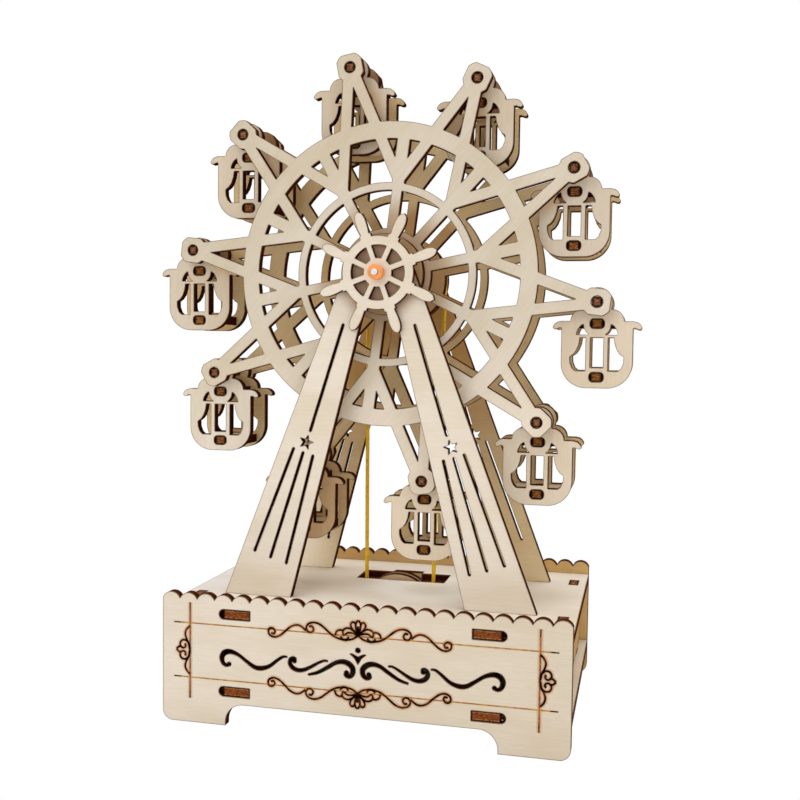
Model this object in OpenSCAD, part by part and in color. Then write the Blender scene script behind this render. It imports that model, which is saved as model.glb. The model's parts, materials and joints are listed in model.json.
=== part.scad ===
// Hand cranked ferris wheel toy of laser-cut plywood.
// Millimetres, +Z up, the front panel faces -Y, the origin is under the middle of the whole toy.

/* [Sheet stock] */
// Thickness of the plywood of the base, frames, wheels and cabins
ply = 3; // [2.8:0.05:3.2]
// Thickness of the thin plywood of the helm and the belt pulleys
thin_ply = 2; // [1.8:0.05:2.2]
// Play all round a tab in its slot
tab_gap = 0.12; // [0.08:0.01:0.16]
// How far a tab's end lies below the face that it comes through
tab_recess = 0.3; // [0.1:0.05:0.4]

/* [Base] */
// Width of the front and back panels
panel_w = 132; // [128:0.5:138]
// Number of scallops along the top of a panel
scallops = 22; // [20:1:24]
// Rise of a scallop above the valleys beside it
scallop_rise = 2; // [1.5:0.1:2.4]
// Height of the deck's top face
deck_top = 37.7; // [37:0.1:38.5]
// Height of the valleys between the scallops above the deck's top face
valley_rise = 2.7; // [1.5:0.1:4]
// Distance from the bearing plate's rear face to the back panel
rear_room = 13.3; // [10:0.1:18]
// Height of the floor board's top face
floor_top = 12.6; // [12.2:0.1:13]
// Height of the gap between the feet
foot_h = 7.1; // [6:0.1:8]
// Width of a foot
foot_w = 21.9; // [18:0.1:25]
// Radius in the upper corners of the gap between the feet
foot_arc_r = 6; // [4:0.25:6]
// Radius of a panel's lower corners
panel_corner_r = 3.5; // [2:0.25:5]
// Distance of the end walls from the ends of the panels
end_inset = 3; // [2:0.25:5]
// Width of a deck or floor tab that comes through a panel
panel_tab_w = 8.9; // [7:0.1:9.6]
// Distance of such a tab from the middle of the panel, to its inner edge
panel_tab_x = 35.9; // [34:0.1:38]
// Width of a tab on an end wall
wall_tab_w = 7.8; // [6:0.1:10]

/* [Deck opening] */
// Width of the opening for the belt and the crank pulley
opening_w = 32.4; // [31.5:0.1:34]
// Distance from the opening's front edge to the crank pulley
opening_front_gap = 1.5; // [1:0.1:3]

/* [A-frames] */
// Distance from the base's front face to the front frame
front_frame_y = 20.8; // [20:0.1:22]
// Height of the wheel's axle
axle_z = 146.4; // [144:0.2:152]
// Radius of a frame's round head
frame_head_r = 11; // [10.4:0.1:11.4]
// Distance from the middle to the outer edge of a frame's foot
frame_foot_out = 53.1; // [51:0.1:55]
// Width of a frame's foot
frame_foot_w = 23.4; // [21:0.1:25]
// Half width of the gap between the legs at its top
frame_gap_half = 5.1; // [4.6:0.1:5.6]
// Distance from the axle down to the top of the gap between the legs
frame_gap_drop = 11.4; // [10.8:0.1:12]
// Width of the tab under a frame's foot
frame_tab_w = 12; // [10:0.25:15]
// Width of the long slits in the legs
slit_w = 0.9; // [0.7:0.05:1.2]
// Radius of the star cut in a leg
star_r = 2.55; // [2:0.05:2.9]

/* [Wheels] */
// Number of cabins round the wheel
cabins = 10; // [9:1:10]
// Angle of the first cabin's pivot from the horizontal
first_pin_deg = 64.8; // [60:0.2:70]
// Distance from the axle to a cabin's pivot
pin_r = 69.8; // [69.4:0.1:71]
// Outer radius and width of the large ring
ring_out_r = 50.5; // [49.5:0.1:51.5]
ring_w = 5.7; // [5:0.1:6.5]
// Outer radius and width of the small ring
rim_out_r = 30.5; // [29.8:0.1:31]
rim_w = 2.6; // [2.2:0.1:3.4]
// Radius of a wheel's hub
hub_r = 15.4; // [14.8:0.1:16]
// Width of a spoke between the hub and the small ring
spoke_w = 3.4; // [3:0.1:4.4]
// Width of one of the two bars that reach out to a pivot
arm_w = 3.8; // [3.4:0.1:4.2]
// Width of the short bar between the two rings
strut_w = 4.2; // [3.6:0.1:4.8]
// Width and length of an arm's head
head_w = 8.6; // [8.2:0.1:9.6]
// Width over the rounded corners of an arm's head
head_corner_w = 9.7; // [9.5:0.1:11]
// Radius of the disc in front of the front wheel
disc_r = 13.4; // [12.6:0.1:14]
// Distance from the front frame's rear face to the front wheel
wheel_gap = 5.3; // [5:0.1:6.5]
// Distance from the rear cheek of the wheel's pulley to the back frame
back_gap = 5.1; // [4:0.1:6]

/* [Helm] */
// Outer radius of the helm's ring
helm_ring_r = 11.9; // [11.4:0.1:12.2]
// Width of the helm's ring
helm_ring_w = 3; // [2.6:0.1:3.5]
// Radius of the helm's middle
helm_boss_r = 4.7; // [4.3:0.1:5]
// Radius over the tips of the helm's handles
helm_tip_r = 20.7; // [20:0.1:21.5]
// Greatest width of a handle
helm_handle_w = 3.5; // [3:0.1:4]
// Width of the step where a handle meets the ring
helm_step_w = 3.9; // [3.6:0.1:4.4]
// Width of the bars between the helm's windows
helm_bar_w = 1.9; // [1.6:0.1:2.2]
// Angle by which the helm's handles are turned
helm_turn_deg = -2.5; // [-6:0.5:6]
// Distance from the helm to the front frame
helm_gap = 0.4; // [0.3:0.05:0.6]

/* [Cabins] */
// Width of a cabin's side plate below its roof
cabin_w = 22.8; // [22:0.1:24]
// Distance from the pivot down to the bottom of a cabin
cabin_drop = 27.7; // [27.4:0.1:29.4]
// Depth of a cabin over its two side plates
cabin_d = 17.1; // [16:0.1:19]
// Distance between a cabin's side plate and the wheel beside it
cabin_gap = 2.4; // [2:0.1:3]
// Radius of the lower corners of a side plate
cabin_corner_r = 8.1; // [6:0.1:9]
// Width over the tips of the roof
roof_w = 28.4; // [27.6:0.1:29.4]
// Width of the roof board and of the seat board
roof_board_w = 11.4; // [9:0.1:12.4]
seat_board_w = 16.4; // [12:0.1:17]
// Distance from the pivot down to the middle of the roof board and of the seat board
roof_board_drop = 6.8; // [6.6:0.1:7.6]
seat_board_drop = 24.1; // [23.8:0.1:24.3]
// Width of the boards' tabs
cabin_tab_w = 3.6; // [3.2:0.05:3.8]

/* [Drive] */
// Diameter of the steel shafts
shaft_d = 2; // [1.8:0.05:2.2]
// Diameter of the round rubber belt
belt_d = 1.4; // [1.2:0.05:1.6]
// Radius of the belt's middle line round the wheel's pulley
wheel_belt_r = 14.3; // [13.9:0.05:14.6]
// Radius of the belt's middle line round the crank's pulley
crank_belt_r = 12.4; // [12:0.05:12.7]
// Height of a pulley's cheek above the belt's middle line
cheek_rise = 0.8; // [0.7:0.05:0.95]
// Height of the crank's shaft
crank_z = 26.4; // [26.2:0.1:26.8]
// Place of the crank's shaft to the right of the wheel's axle
crank_x = -1.2; // [-2:0.1:2]
// Distance from the crank's pulley to its bearing plate
bearing_gap = 6.1; // [5:0.1:7]
// Width of the bearing plate
bearing_w = 30; // [26:0.5:36]
// Throw of the crank, from its shaft to the knob
crank_throw = 20; // [16:0.25:20.5]
// Width of the crank arm
crank_arm_w = 8; // [7:0.1:9]
// Length and radius of the crank's knob
knob_l = 13; // [11:0.1:16]
knob_r = 4; // [3.4:0.1:4.6]

/* [Sleeves] */
// Radius of the plastic sleeves on the shafts
sleeve_r = 2.45; // [2.2:0.05:3]
// Length of a sleeve that ends a shaft
sleeve_l = 3.5; // [3:0.1:5]
// How far a shaft stands out of the sleeve at its end
shaft_proud = 0.6; // [0.3:0.05:1]

/* [Scroll work] */
// Height of the middle of the pierced scrolls on the front panel
scroll_z = 22; // [21.5:0.1:22.5]

/* [Hidden] */

$fn = 96;
overrun = 1;

// Colours of the materials
birch = [0.89, 0.84, 0.76];
birch_dark = [0.80, 0.72, 0.58];
steel = [0.75, 0.76, 0.78];
plastic = [0.96, 0.54, 0.23];
rubber = [0.88, 0.69, 0.06];

// Fits
press_gap = 0.02;
run_gap = 0.05;
belt_gap = 0.15;
face_gap = 0.3;
shaft_r = shaft_d / 2;
seat_r = shaft_r + press_gap;
bearing_r = shaft_r + run_gap;

// Levels of the base
deck_under = deck_top - ply;
floor_under = floor_top - ply;
panel_half = panel_w / 2;
wall_x = panel_half - end_inset - ply;
pitch = panel_w / scallops;
valley_h = deck_top + valley_rise;
scallop_r = (pitch * pitch / 4 + scallop_rise * scallop_rise) / (2 * scallop_rise);
scallop_z = valley_h + scallop_rise - scallop_r;

// Places along Y, measured from the front panel's face
frame_rear_y = front_frame_y + ply;
front_wheel_y = frame_rear_y + wheel_gap;
hub_disc_y = front_wheel_y - ply;
cabin_front_y = front_wheel_y + ply + cabin_gap;
cabin_rear_y = cabin_front_y + cabin_d - ply;
back_wheel_y = cabin_front_y + cabin_d + cabin_gap;
pulley_y = back_wheel_y + ply;
belt_y = pulley_y + thin_ply + thin_ply / 2;
pulley_end_y = pulley_y + 3 * thin_ply;
back_frame_y = pulley_end_y + back_gap;
bearing_y = pulley_end_y + bearing_gap;
panel_rear_y = bearing_y + ply + rear_room;
base_d = panel_rear_y + ply;
opening_y = pulley_y - opening_front_gap;
axle = [0, axle_z];
crank_axle = [crank_x, crank_z];
knob_axle = [crank_x, crank_z - crank_throw];
helm_y = front_frame_y - helm_gap - thin_ply;
front_sleeve_y = helm_y - sleeve_l;
rear_sleeve_y = back_frame_y + ply + face_gap;
crank_sleeve_y = pulley_y - sleeve_l;
crank_arm_y = base_d + face_gap;
knob_y = crank_arm_y + ply + face_gap;
pin_head_y = knob_y + knob_l + face_gap;

// Distance between the middles of an end wall's two tabs
wall_tab_share = 0.5916;
wall_tab_pitch = wall_tab_share * base_d;

// The crank pin's head and the knob's rounded ends
pin_head_l = 1;
pin_head_share = 1.7;
pin_head_r = shaft_r * pin_head_share;
knob_round_share = 0.25;
overall_d = pin_head_y + pin_head_l;

// Outline of a frame: the legs' outer edges run into the sides of the round head
foot_dist = norm([frame_foot_out, axle_z - deck_top]);
edge_angle = atan2(axle_z - deck_top, frame_foot_out) + asin(frame_head_r / foot_dist);
touch_share = 0.998;
touch = touch_share * frame_head_r * [sin(edge_angle), cos(edge_angle)];
gap_top = axle_z - frame_gap_drop;
leg_h = gap_top - deck_top;
frame_tab_x = frame_foot_out - frame_foot_w / 2;
frame_foot_in = frame_foot_out - frame_foot_w;

// Slits of a leg: share across the leg and share of its height, at the top and at the bottom
slit_shares = [[[0.476, 0.944], [0.474, 0.582]], [[0.267, 0.496], [0.204, 0.120]],
               [[0.483, 0.506], [0.484, 0.137]], [[0.704, 0.519], [0.776, 0.157]]];
slit_round_share = 0.9;
star_shares = [0.487, 0.542];
star_inner_share = 0.42;
star_points = 5;

// The wheel: nodes of the arms lie midway between the pivots
pin_step = 360 / cabins;
ring_in_r = ring_out_r - ring_w;
rim_in_r = rim_out_r - rim_w;
node_r = rim_out_r + strut_w / 4;
arm_offset_share = 0.1;
arm_offset = arm_w * arm_offset_share;
stub_w = ply;
stub_round_share = 0.617;
stub_r = stub_w * stub_round_share;
pin_hole_r = stub_r + run_gap;

// The helm
helm_spokes = 8;
helm_window_r = helm_ring_r - helm_ring_w;
handle_share = 0.62;
handle_steps = 12;
neck_share = 0.62;
handle_neck_w = helm_handle_w * neck_share;
step_share = 0.25;
step_h = helm_step_w * step_share;

// A cabin's side plate, points as shares of half its width and of its drop, downwards
cabin_half = cabin_w / 2;
roof_half = roof_w / 2;
dome_share = 0.43;
lobe_shares = [0.327, 0.220, 0.278];
eave_share = 0.216;
eave_tip_shares = [[0.58, 0.216], [0.81, 0.216], [0.90, 0.227], [0.96, 0.25], [1, 0.283],
                   [0.995, 0.303], [0.96, 0.316], [0.91, 0.311], [0.85, 0.298], [0.58, 0.306]];
window_shares = [[0.315, 0.409], [0.470, 0.409], [0.497, 0.482], [0.557, 0.552], [0.64, 0.602],
                 [0.75, 0.634], [0.743, 0.702], [0.682, 0.767], [0.598, 0.799], [0.315, 0.799]];
middle_shares = [0.183, 0.409, 0.76];
fan_shares = [[0.23, 0.374], [0.305, 0.348], [0.36, 0.31], [0.39, 0.252], [0.466, 0.272],
              [0.53, 0.31], [0.566, 0.344], [0.578, 0.374]];
cabin_slot_play = 0.55;
cabin_slot_w = cabin_tab_w + 2 * cabin_slot_play;
cabin_slot_h = ply + 2 * tab_gap;
slot_round_share = 0.4;
cabin_slot_r = cabin_slot_h * slot_round_share;

// The pierced scrolls, in pitches of the scalloped edge: place from the panel's middle,
// place from the scrolls' middle line, half width
scroll_shares = [
    [[2.70, -0.48, 0.051], [2.20, -0.33, 0.078], [1.65, -0.01, 0.095], [1.22, 0.27, 0.1],
     [0.83, 0.37, 0.122], [0.50, 0.29, 0.139], [0.28, 0.07, 0.139], [0.28, -0.21, 0.128],
     [0.44, -0.38, 0.111], [0.62, -0.36, 0.095], [0.70, -0.24, 0.078]],
    [[1.63, 0.33, 0.045], [1.85, 0.33, 0.051], [2.15, 0.19, 0.061], [2.58, -0.07, 0.078],
     [2.95, -0.25, 0.095], [3.28, -0.29, 0.106], [3.56, -0.18, 0.117], [3.71, 0.03, 0.112],
     [3.66, 0.24, 0.111], [3.50, 0.32, 0.1], [3.40, 0.24, 0.089]],
    [[3.86, 0.36, 0.035], [4.10, 0.35, 0.061], [4.40, 0.15, 0.073], [4.85, -0.21, 0.089],
     [5.30, -0.37, 0.117], [5.70, -0.34, 0.111], [6.15, -0.07, 0.089], [6.60, 0.23, 0.089],
     [7.05, 0.38, 0.122], [7.40, 0.30, 0.144], [7.56, 0.04, 0.133], [7.50, -0.24, 0.111],
     [7.33, -0.37, 0.095], [7.16, -0.34, 0.078]]];
scroll_blob_shares = [[0.60, -0.20, 0.126], [3.47, 0.19, 0.125], [7.14, -0.30, 0.115]];
scroll_steps = 5;
tulip_shares = [[0, 0.69], [0.2, 0.79], [0.33, 0.84], [0.45, 0.82], [0.3, 0.71], [0.17, 0.58],
                [0.09, 0.43], [0, 0.28]];
dot_shares = [1.03, 0.14];

// The tangent lines of the belt
belt_span = norm(axle - crank_axle);
belt_lean = atan2(-crank_x, axle_z - crank_z);
belt_tilt = asin((wheel_belt_r - crank_belt_r) / belt_span);
belt_steps = 20;
belt_sides = 10;
wheel_core_r = wheel_belt_r - belt_d / 2 - belt_gap;
crank_core_r = crank_belt_r - belt_d / 2 - belt_gap;

// The bearing plate
bearing_tab_share = 0.2;
bearing_tab_w = bearing_w * bearing_tab_share;
bearing_tab_x = bearing_w / 3;
notch_w = opening_w / 3;

// A flat piece: its outline in X and Z, its front face at y, its thickness t
module sheet(y, t) {
    translate([0, y + t - overall_d / 2, 0]) rotate([90, 0, 0]) linear_extrude(t) children();
}

// A lying board: its outline in X and Y, its underside at z
module board(z) {
    translate([0, -overall_d / 2, z]) linear_extrude(ply) children();
}

// A round bar along Y at a place in X and Z
module rod(y, l, r, place) {
    translate([place[0], y + l - overall_d / 2, place[1]]) rotate([90, 0, 0]) cylinder(l, r, r);
}

// A ring or disc in the plane of a sheet
module disc(r, bore) {
    difference() {
        circle(r);
        circle(bore);
    }
}

// Cuts on both sides of the middle
module mirrored() {
    children();
    mirror([1, 0]) children();
}

// A rectangle centred on the origin with round corners
module round_rect(w, h, r) {
    square([w, h - 2 * r], center = true);
    square([w - 2 * r, h], center = true);
    for (x = [-1, 1], y = [-1, 1]) translate([x * (w / 2 - r), y * (h / 2 - r)]) circle(r);
}

// Catmull-Rom curve through points of any size
function cubic(a, b, c, d, t) =
    (2 * b + (c - a) * t + (2 * a - 5 * b + 4 * c - d) * t * t + (3 * b - a - 3 * c + d) * t * t * t) / 2;
function curve(p, n) = let (e = len(p) - 1)
    concat([for (i = [0:e - 1], j = [0:n - 1])
        cubic(p[max(i - 1, 0)], p[i], p[i + 1], p[min(i + 2, e)], j / n)], [p[e]]);

// A stroke along a curve of points [x, z, half width]
function side_step(p, i) = let (e = len(p) - 1, d = p[min(i + 1, e)] - p[max(i - 1, 0)])
    [-d[1], d[0]] / norm([d[0], d[1]]) * p[i][2];
module stroke(p) {
    e = len(p) - 1;
    polygon(concat([for (i = [0:e]) [p[i][0], p[i][1]] + side_step(p, i)],
                   [for (i = [e:-1:0]) [p[i][0], p[i][1]] - side_step(p, i)]));
}

// One half of the pierced scrolls
module scroll_half() {
    for (i = [0:len(scroll_shares) - 1]) {
        stroke(curve(scroll_shares[i], scroll_steps) * pitch);
        b = scroll_blob_shares[i] * pitch;
        translate([b[0], b[1]]) circle(b[2]);
    }
}

module tulip() {
    polygon(concat(tulip_shares, [for (i = [len(tulip_shares) - 2:-1:1])
        [-tulip_shares[i][0], tulip_shares[i][1]]]) * pitch);
    translate([0, dot_shares[0] * pitch]) circle(dot_shares[1] * pitch);
}

// A slot in a panel for a tab of the deck or floor, round at its outer end
module panel_slot(z) {
    h = ply + 2 * tab_gap;
    x = panel_tab_x - tab_gap;
    translate([x, z - tab_gap]) square([panel_tab_w + tab_gap, h]);
    translate([x + panel_tab_w + tab_gap, z + ply / 2]) circle(h / 2);
}

module panel_outline() {
    gap_half = panel_half - foot_w;
    difference() {
        union() {
            intersection() {
                translate([-panel_half, 0]) square([panel_w, valley_h + scallop_rise]);
                union() {
                    translate([-panel_half, panel_corner_r]) square([panel_w, valley_h - panel_corner_r]);
                    for (i = [0:scallops - 1])
                        translate([(i + 0.5) * pitch - panel_half, scallop_z]) circle(scallop_r);
                }
            }
            translate([panel_corner_r - panel_half, 0])
                square([panel_w - 2 * panel_corner_r, valley_h / 2]);
            for (x = [-1, 1])
                translate([x * (panel_half - panel_corner_r), panel_corner_r]) circle(panel_corner_r);
        }
        translate([-gap_half, -overrun]) square([2 * gap_half, foot_h - foot_arc_r + overrun]);
        translate([foot_arc_r - gap_half, -overrun])
            square([2 * (gap_half - foot_arc_r), foot_h + overrun]);
        for (x = [-1, 1])
            translate([x * (gap_half - foot_arc_r), foot_h - foot_arc_r]) circle(foot_arc_r);
        mirrored() panel_slot(deck_under);
        mirrored() panel_slot(floor_under);
    }
}

module front_panel() {
    color(birch) sheet(0, ply) difference() {
        panel_outline();
        translate([0, scroll_z]) {
            mirrored() scroll_half();
            tulip();
        }
    }
}

module back_panel() {
    color(birch) sheet(panel_rear_y, ply) difference() {
        panel_outline();
        translate(crank_axle) circle(bearing_r);
    }
}

// An end wall with its tabs, as an outline in Y and Z
module wall_outline() {
    translate([ply, floor_top]) square([base_d - 2 * ply, deck_under - floor_top]);
    for (s = [-1, 1])
        translate([base_d / 2 + s * wall_tab_pitch / 2 - wall_tab_w / 2, floor_under])
            square([wall_tab_w, deck_top - floor_under]);
}

module end_wall(x) {
    color(birch) translate([x, -overall_d / 2, 0]) rotate([90, 0, 90])
        linear_extrude(ply) wall_outline();
}

// A slot in the deck or floor for a tab w wide along X and d deep along Y, centred at x, y
module board_slot(x, y, w, d) {
    translate([x - w / 2 - tab_gap, y - d / 2 - tab_gap]) square([w + 2 * tab_gap, d + 2 * tab_gap]);
}

// Deck or floor board: between the panels, with tabs into them and slots for the end walls
module board_outline() {
    difference() {
        union() {
            translate([-panel_half, ply]) square([panel_w, base_d - 2 * ply]);
            for (x = [panel_tab_x, -panel_tab_x - panel_tab_w]) translate([x, tab_recess])
                square([panel_tab_w, base_d - 2 * tab_recess]);
        }
        for (x = [-1, 1], s = [-1, 1])
            board_slot(x * (wall_x + ply / 2), base_d / 2 + s * wall_tab_pitch / 2, ply, wall_tab_w);
    }
}

module deck() {
    color(birch) board(deck_under) difference() {
        board_outline();
        translate([-opening_w / 2, opening_y]) square([opening_w, bearing_y - opening_y]);
        translate([-notch_w / 2, opening_y])
            square([notch_w, bearing_y + ply + tab_gap - opening_y]);
        for (x = [-1, 1], y = [front_frame_y, back_frame_y])
            board_slot(x * frame_tab_x, y + ply / 2, frame_tab_w, ply);
    }
}

module floor_board() {
    color(birch) board(floor_under) difference() {
        board_outline();
        for (x = [-1, 1]) board_slot(x * bearing_tab_x, bearing_y + ply / 2, bearing_tab_w, ply);
    }
}

module bearing_plate() {
    tab_half = notch_w / 2 - tab_gap;
    color(birch) sheet(bearing_y, ply) difference() {
        union() {
            translate([-bearing_w / 2, floor_top]) square([bearing_w, deck_under - floor_top]);
            translate([-tab_half, floor_top]) square([2 * tab_half, deck_top - floor_top]);
            for (x = [-1, 1]) translate([x * bearing_tab_x - bearing_tab_w / 2, floor_under])
                square([bearing_tab_w, 2 * ply]);
        }
        translate(crank_axle) circle(bearing_r);
    }
}

// A place on the right leg from its shares across and up
function leg_point(s) = let (
        inner = frame_foot_in + (frame_gap_half - frame_foot_in) * s[1],
        outer = frame_foot_out - s[1] * leg_h / tan(edge_angle))
    [inner + (outer - inner) * s[0], deck_top + s[1] * leg_h];

module slit(a, b) {
    d = b - a;
    translate(a) rotate(atan2(d[1], d[0])) translate([0, -slit_w / 2]) square([norm(d), slit_w]);
    for (p = [a, b]) translate(p) circle(slit_w / 2 * slit_round_share);
}

module star() {
    polygon([for (i = [0:2 * star_points - 1]) let (
        r = i % 2 == 0 ? star_r : star_r * star_inner_share, a = 180 + i * 180 / star_points)
        [r * cos(a), r * sin(a)]]);
}

module frame_outline() {
    difference() {
        union() {
            polygon([[-frame_foot_out, deck_top], [frame_foot_out, deck_top],
                     [touch[0], axle_z + touch[1]], [-touch[0], axle_z + touch[1]]]);
            translate(axle) circle(frame_head_r);
            for (x = [-1, 1]) translate([x * frame_tab_x - frame_tab_w / 2, deck_under])
                square([frame_tab_w, 2 * ply]);
        }
        polygon([[-frame_foot_in, deck_top], [-frame_foot_in, deck_under], [frame_foot_in, deck_under],
                 [frame_foot_in, deck_top], [frame_gap_half, gap_top], [-frame_gap_half, gap_top]]);
        mirrored() {
            for (s = slit_shares) slit(leg_point(s[0]), leg_point(s[1]));
            translate(leg_point(star_shares)) star();
        }
        translate(axle) circle(bearing_r);
    }
}

module front_frame() {
    color(birch) sheet(front_frame_y, ply) frame_outline();
}

module back_frame() {
    color(birch) sheet(back_frame_y, ply) frame_outline();
}

// The rings of one round bend of the belt: pulley radius, height, first angle and sweep
function bend_rings(r, z, a, s) = [for (i = [0:belt_steps]) [r, z, a + s * i / belt_steps]];

// The belt is a tube of belt_sides sides, swept round both pulleys as one closed loop. Its heights
// are measured from the wheel's axle along the line to the crank's shaft.
module drive_belt() {
    rings = concat(bend_rings(wheel_belt_r, 0, -belt_tilt, 180 + 2 * belt_tilt),
                   bend_rings(crank_belt_r, -belt_span, 180 + belt_tilt, 180 - 2 * belt_tilt));
    n = len(rings);
    m = belt_sides;
    points = [for (q = rings, j = [0:m - 1]) let (
        b = (j + 0.5) * 360 / m, r = q[0] + belt_d / 2 * cos(b))
        [r * cos(q[2]), belt_y - overall_d / 2 + belt_d / 2 * sin(b), q[1] + r * sin(q[2])]];
    faces = [for (i = [0:n - 1], j = [0:m - 1])
        [i * m + j, i * m + (j + 1) % m, (i + 1) % n * m + (j + 1) % m, (i + 1) % n * m + j]];
    color(rubber) translate([0, 0, axle_z]) rotate([0, belt_lean, 0]) polyhedron(points, faces);
}

module wheel_axle() {
    start = front_sleeve_y - shaft_proud;
    color(steel) rod(start, rear_sleeve_y + sleeve_l + shaft_proud - start, shaft_r, axle);
}

// A sleeve pressed on a shaft from y, l long
module sleeve(y, l, place) {
    color(plastic) sheet(y, l) translate(place) disc(sleeve_r, seat_r);
}

module axle_sleeves() {
    sleeve(front_sleeve_y, sleeve_l, axle);
    sleeve(frame_rear_y + face_gap, hub_disc_y - frame_rear_y - face_gap, axle);
    sleeve(pulley_end_y, back_frame_y - pulley_end_y - face_gap, axle);
    sleeve(rear_sleeve_y, sleeve_l, axle);
}

// The bar from the arm node on one side to the head of a pivot, in the pivot's own frame
module arm_bar(side) {
    from = node_r * [cos(pin_step / 2), side * sin(pin_step / 2)];
    to = [pin_r, side * arm_offset];
    d = to - from;
    translate(from) rotate(atan2(d[1], d[0])) translate([0, -arm_w / 2]) square([norm(d), arm_w]);
}

module arm_head() {
    intersection() {
        square(head_w, center = true);
        circle(d = head_corner_w);
    }
}

module wheel_outline() {
    difference() {
        union() {
            disc(ring_out_r, ring_in_r);
            disc(rim_out_r, rim_in_r);
            circle(hub_r);
            for (k = [0:cabins - 1]) rotate(first_pin_deg + k * pin_step) {
                for (side = [-1, 1]) arm_bar(side);
                translate([pin_r, 0]) arm_head();
                rotate(pin_step / 2) {
                    translate([0, -spoke_w / 2]) square([rim_out_r, spoke_w]);
                    translate([rim_in_r, -strut_w / 2]) square([ring_in_r + overrun - rim_in_r, strut_w]);
                }
            }
        }
        circle(seat_r);
        for (k = [0:cabins - 1]) rotate(first_pin_deg + k * pin_step)
            translate([pin_r, 0]) circle(pin_hole_r);
    }
}

module wheel(y) {
    color(birch) sheet(y, ply) translate(axle) wheel_outline();
}

module hub_disc() {
    color(birch) sheet(hub_disc_y, ply) translate(axle) disc(disc_r, seat_r);
}

// One handle of the helm, pointing along +X from the ring
module helm_handle() {
    start = helm_ring_r - helm_bar_w / 2;
    run = helm_tip_r - start;
    function half(t) = t < handle_share
        ? handle_neck_w / 2 + (helm_handle_w - handle_neck_w) / 2 * sin(90 * t / handle_share)
        : helm_handle_w / 2 * sqrt(1 - pow((t - handle_share) / (1 - handle_share), 2));
    p = [for (i = [0:handle_steps]) [start + run * i / handle_steps, half(i / handle_steps)]];
    polygon(concat([for (q = p) [q[0], -q[1]]], [for (i = [handle_steps - 1:-1:0]) p[i]]));
    translate([start, -helm_step_w / 2]) square([helm_bar_w / 2 + step_h, helm_step_w]);
}

module helm() {
    color(birch) sheet(helm_y, thin_ply) translate(axle) rotate(helm_turn_deg) {
        disc(helm_ring_r, helm_window_r);
        disc(helm_boss_r, seat_r);
        for (i = [0:helm_spokes - 1]) rotate((i + 0.5) * 360 / helm_spokes) {
            helm_handle();
            translate([helm_boss_r - helm_bar_w / 2, -helm_bar_w / 2])
                square([helm_window_r - helm_boss_r + helm_bar_w, helm_bar_w]);
        }
    }
}

// One layer of a belt pulley
module pulley_layer(i, r, place) {
    color(birch_dark) sheet(pulley_y + i * thin_ply, thin_ply) translate(place) disc(r, seat_r);
}

module crank_shaft() {
    start = crank_sleeve_y - shaft_proud;
    color(steel) rod(start, crank_arm_y + ply - start, shaft_r, crank_axle);
}

module crank_sleeves() {
    sleeve(crank_sleeve_y, sleeve_l, crank_axle);
    sleeve(pulley_end_y, bearing_y - pulley_end_y - face_gap, crank_axle);
}

module crank_arm() {
    color(birch) sheet(crank_arm_y, ply) difference() {
        union() {
            for (place = [crank_axle, knob_axle]) translate(place) circle(crank_arm_w / 2);
            translate(knob_axle - [crank_arm_w / 2, 0]) square([crank_arm_w, crank_throw]);
        }
        for (place = [crank_axle, knob_axle]) translate(place) circle(seat_r);
    }
}

module crank_pin() {
    color(steel) {
        rod(crank_arm_y, pin_head_y + pin_head_l - crank_arm_y, shaft_r, knob_axle);
        rod(pin_head_y, pin_head_l, pin_head_r, knob_axle);
    }
}

module crank_knob() {
    neck_r = knob_r - shaft_r / 2;
    crown = knob_r * knob_round_share;
    color(birch_dark) translate([knob_axle[0], knob_y - overall_d / 2, knob_axle[1]]) rotate([-90, 0, 0])
        rotate_extrude() polygon([[bearing_r, 0], [neck_r, 0], [neck_r, crown],
            [knob_r, crown + shaft_r], [knob_r, knob_l - crown], [knob_r - crown, knob_l],
            [bearing_r, knob_l]]);
}

// The pivot of cabin k, from the axle
function pin_place(k) = let (a = first_pin_deg + (k - 1) * pin_step)
    axle + pin_r * [cos(a), sin(a)];

// The square pivot bar's section, its corners rounded to turn in a round hole
module stub_outline(g) {
    intersection() {
        square(stub_w + 2 * g, center = true);
        circle(stub_r + g);
    }
}

// Points given as shares of half the cabin's width and of its drop
function cabin_points(s) = [for (p = s) [p[0] * cabin_half, -p[1] * cabin_drop]];

// The eave on one side, its points in the order from a to b
function eave_points(side, a, step, b) = [for (i = [a:step:b])
    [side * eave_tip_shares[i][0] * roof_half, -eave_tip_shares[i][1] * cabin_drop]];

module cabin_outline() {
    last = len(eave_tip_shares) - 1;
    eave_z = eave_share * cabin_drop;
    difference() {
        union() {
            circle(dome_share * cabin_half);
            for (x = [-1, 1])
                translate([x * lobe_shares[0] * roof_half, -lobe_shares[1] * cabin_drop])
                    circle(lobe_shares[2] * roof_half);
            translate([-cabin_half, cabin_corner_r - cabin_drop])
                square([cabin_w, cabin_drop - cabin_corner_r - eave_z]);
            translate([cabin_corner_r - cabin_half, -cabin_drop])
                square([cabin_w - 2 * cabin_corner_r, 2 * cabin_corner_r]);
            for (x = [-1, 1])
                translate([x * (cabin_half - cabin_corner_r), cabin_corner_r - cabin_drop])
                    circle(cabin_corner_r);
            translate([-lobe_shares[0] * roof_half, -eave_z])
                square([2 * lobe_shares[0] * roof_half, eave_z / 2]);
            polygon(concat(eave_points(-1, 0, 1, last), eave_points(1, last, -1, 0)));
        }
        mirrored() polygon(cabin_points(window_shares));
        mirrored() polygon(cabin_points(fan_shares));
        translate([-middle_shares[0] * cabin_half, -middle_shares[2] * cabin_drop])
            square([2 * middle_shares[0] * cabin_half,
                    (middle_shares[2] - middle_shares[1]) * cabin_drop]);
        for (z = [roof_board_drop, seat_board_drop])
            translate([0, -z]) round_rect(cabin_slot_w, cabin_slot_h, cabin_slot_r);
        stub_outline(press_gap);
    }
}

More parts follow.
